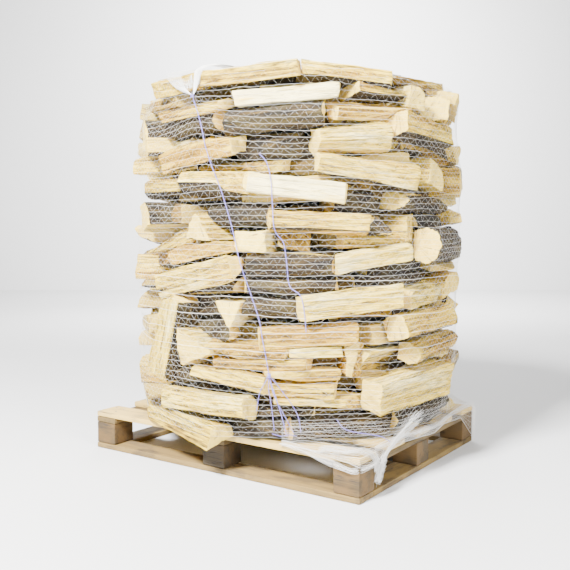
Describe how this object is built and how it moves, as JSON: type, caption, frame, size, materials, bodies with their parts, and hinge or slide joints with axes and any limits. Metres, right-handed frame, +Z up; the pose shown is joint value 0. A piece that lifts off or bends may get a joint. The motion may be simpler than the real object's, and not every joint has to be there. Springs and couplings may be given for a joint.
{
  "type": "pallet of firewood",
  "caption": "Split firewood logs in a round stack on a block pallet, wrapped in a thin knitted net and tied with string.",
  "frame": {"origin": "middle of the pallet's underside", "axes": "+X along the pallet's long side, -Y out of the long side that the picture shows, +Z up"},
  "size_m": [1.3446, 1.3611, 1.473],
  "materials": {
    "fresh_wood": "split dry wood, pale yellow",
    "white_wood": "split dry wood, nearly white",
    "bark": "rough bark",
    "stacked_wood": "split dry wood, mixed tones",
    "deck_board": "rough sawn, pale",
    "pallet_board": "rough sawn, weathered grey brown",
    "pallet_block": "rough sawn, weathered and cracked",
    "net_yarn": "knitted white yarn",
    "violet_string": "twisted violet string"
  },
  "bodies": {
    "root": {"bark_slab_right": "bark", "block_back_left": "pallet_block", "block_back_middle": "pallet_block", "block_back_right": "pallet_block", "block_front_left": "pallet_block", "block_front_middle": "pallet_block", "block_front_right": "pallet_block", "block_middle_left": "pallet_block", "block_middle_middle": "pallet_block", "block_middle_right": "pallet_block", "bottom_board_back": "pallet_board", "bottom_board_front": "pallet_board", "bottom_board_left": "pallet_board", "bottom_board_middle": "pallet_board", "bottom_board_right": "pallet_board", "broad_end_left": "fresh_wood", "brown_log_right": "bark", "corner_block_right_top": "fresh_wood", "corner_log_right": "fresh_wood", "cross_board_left": "pallet_board", "cross_board_middle": "pallet_board", "cross_board_right": "pallet_board", "deck_board_1": "deck_board", "deck_board_2": "deck_board", "deck_board_3": "deck_board", "deck_board_4": "deck_board", "deck_board_5": "deck_board", "end_block_right_top": "fresh_wood", "grey_bark_log": "bark", "grooved_bark_log": "bark", "knotty_plank": "white_wood", "large_end_left": "fresh_wood", "leaning_log_left": "fresh_wood", "lens_log_left": "fresh_wood", "log_course_1": "stacked_wood", "log_course_2": "stacked_wood", "log_course_3": "stacked_wood", "log_course_4": "stacked_wood", "log_course_5": "stacked_wood", "long_log_left": "fresh_wood", "long_log_middle": "fresh_wood", "loose_string": "violet_string", "low_log_left": "fresh_wood", "net": "net_yarn", "orange_log_middle": "fresh_wood", "overhanging_log": "fresh_wood", "pale_end_middle": "white_wood", "quarter_log_left": "fresh_wood", "ridge_log_left": "fresh_wood", "ridge_log_right": "fresh_wood", "rising_log_right": "fresh_wood", "roof_log_left": "fresh_wood", "rounded_log_right": "bark", "shoulder_log_right": "fresh_wood", "sloping_log_left": "fresh_wood", "tie_string": "violet_string", "triangular_log": "fresh_wood", "upper_log_right": "fresh_wood", "white_plank_middle": "white_wood", "white_plank_top": "white_wood"}
  },
  "joints": []
}
